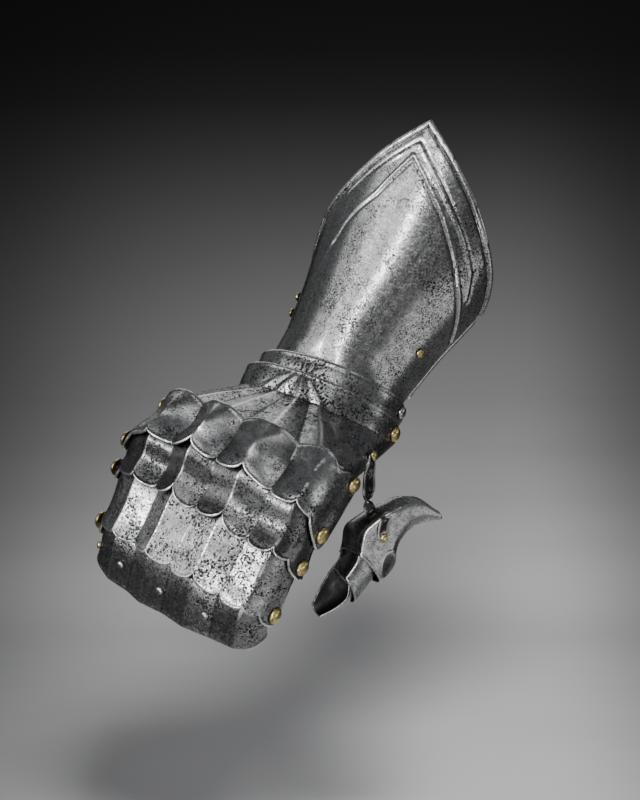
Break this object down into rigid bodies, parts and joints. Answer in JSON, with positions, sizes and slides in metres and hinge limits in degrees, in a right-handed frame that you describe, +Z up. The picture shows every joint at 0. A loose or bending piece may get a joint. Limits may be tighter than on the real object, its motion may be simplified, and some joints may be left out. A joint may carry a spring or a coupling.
{
  "type": "armoured gauntlet",
  "caption": "Hinged steel mitten gauntlet with a pointed cuff, overlapping scalloped finger lames, a knuckle plate and a hinged thumb.",
  "frame": {"origin": "centre of the cuff's open mouth, where the forearm goes in and the gauntlet is held up", "axes": "+Z up and +X to the right of a viewer who faces the back of the hand; the forearm runs up and to the right, leaning back, and +Y points away from that viewer"},
  "size_m": [0.2071, 0.1549, 0.2669],
  "materials": {
    "plate_steel": "polished steel, pitted and darkened with age",
    "hinge_steel": "blackened hinge iron",
    "rivet_brass": "domed brass rivets, worn"
  },
  "bodies": {
    "cuff": {"cuff": "plate_steel", "cuff_hinge_leaf": "hinge_steel", "inner_plate_hinge_pin": "hinge_steel", "cuff_rivet_1": "rivet_brass", "cuff_rivet_2": "rivet_brass", "cuff_rivet_3": "rivet_brass", "cuff_rivet_4": "rivet_brass"},
    "inner_plate": {"inner_cuff_plate": "plate_steel", "inner_plate_hinge_leaf": "hinge_steel"},
    "wrist_band": {"wrist_lame": "plate_steel", "wrist_pivot_thumb_side": "plate_steel", "wrist_pivot_little_side": "plate_steel"},
    "hand_back": {"hand_back_plate": "plate_steel", "heel_pivot_thumb_side": "rivet_brass", "heel_pivot_little_side": "rivet_brass", "thumb_upper_leaf": "hinge_steel", "thumb_hinge_barrel": "hinge_steel"},
    "knuckles": {"knuckle_plate": "plate_steel", "knuckle_pivot_thumb_side": "rivet_brass", "knuckle_pivot_little_side": "rivet_brass", "finger_pivot_1_thumb_side": "rivet_brass", "finger_pivot_1_little_side": "rivet_brass"},
    "finger_1": {"finger_lame_1": "plate_steel", "finger_pivot_2_thumb_side": "rivet_brass", "finger_pivot_2_little_side": "rivet_brass"},
    "finger_2": {"finger_lame_2": "plate_steel", "finger_pivot_3_thumb_side": "rivet_brass", "finger_pivot_3_little_side": "rivet_brass"},
    "fingertip": {"fingertip_lame": "plate_steel", "fingertip_rivet_1": "rivet_brass", "fingertip_rivet_2": "plate_steel", "fingertip_rivet_3": "plate_steel", "fingertip_rivet_4": "plate_steel"},
    "thumb": {"thumb_base_plate": "plate_steel", "thumb_middle_lame": "plate_steel", "thumb_tip_lame": "plate_steel", "thumb_lower_leaf": "hinge_steel", "thumb_leaf_rivet": "rivet_brass"}
  },
  "joints": [
    {"name": "inner_plate_hinge", "type": "hinge", "parent": "cuff", "child": "inner_plate", "pos_m": [-0.04944, 0.01797, -0.02818], "axis": [0.3855, 0.2974, 0.8735], "range_deg": [0, 100]},
    {"name": "wrist_hinge", "type": "hinge", "parent": "cuff", "child": "wrist_band", "pos_m": [-0.03845, -0.01498, -0.06489], "axis": [0.872, -0.4527, -0.1861], "range_deg": [-4, 8]},
    {"name": "heel_hinge", "type": "hinge", "parent": "wrist_band", "child": "hand_back", "pos_m": [-0.0442, -0.01793, -0.0736], "axis": [0.8596, -0.4624, -0.2172], "range_deg": [-2, 10]},
    {"name": "knuckle_hinge", "type": "hinge", "parent": "hand_back", "child": "knuckles", "pos_m": [-0.07635, -0.06015, -0.08593], "axis": [0.8317, -0.4802, -0.2787], "range_deg": [-6, 12]},
    {"name": "finger_hinge_1", "type": "hinge", "parent": "knuckles", "child": "finger_1", "pos_m": [-0.09411, -0.07443, -0.10552], "axis": [0.8081, -0.492, -0.3239], "range_deg": [-4, 9]},
    {"name": "finger_hinge_2", "type": "hinge", "parent": "finger_1", "child": "finger_2", "pos_m": [-0.10171, -0.07548, -0.12104], "axis": [0.7912, -0.4991, -0.3536], "range_deg": [-4, 10]},
    {"name": "finger_hinge_3", "type": "hinge", "parent": "finger_2", "child": "fingertip", "pos_m": [-0.11288, -0.07446, -0.14749], "axis": [0.7912, -0.4991, -0.3536], "range_deg": [-8, 11]},
    {"name": "thumb_hinge", "type": "hinge", "parent": "hand_back", "child": "thumb", "pos_m": [-0.01935, -0.07244, -0.11639], "axis": [0, -1, 0], "range_deg": [-4, 35]}
  ]
}
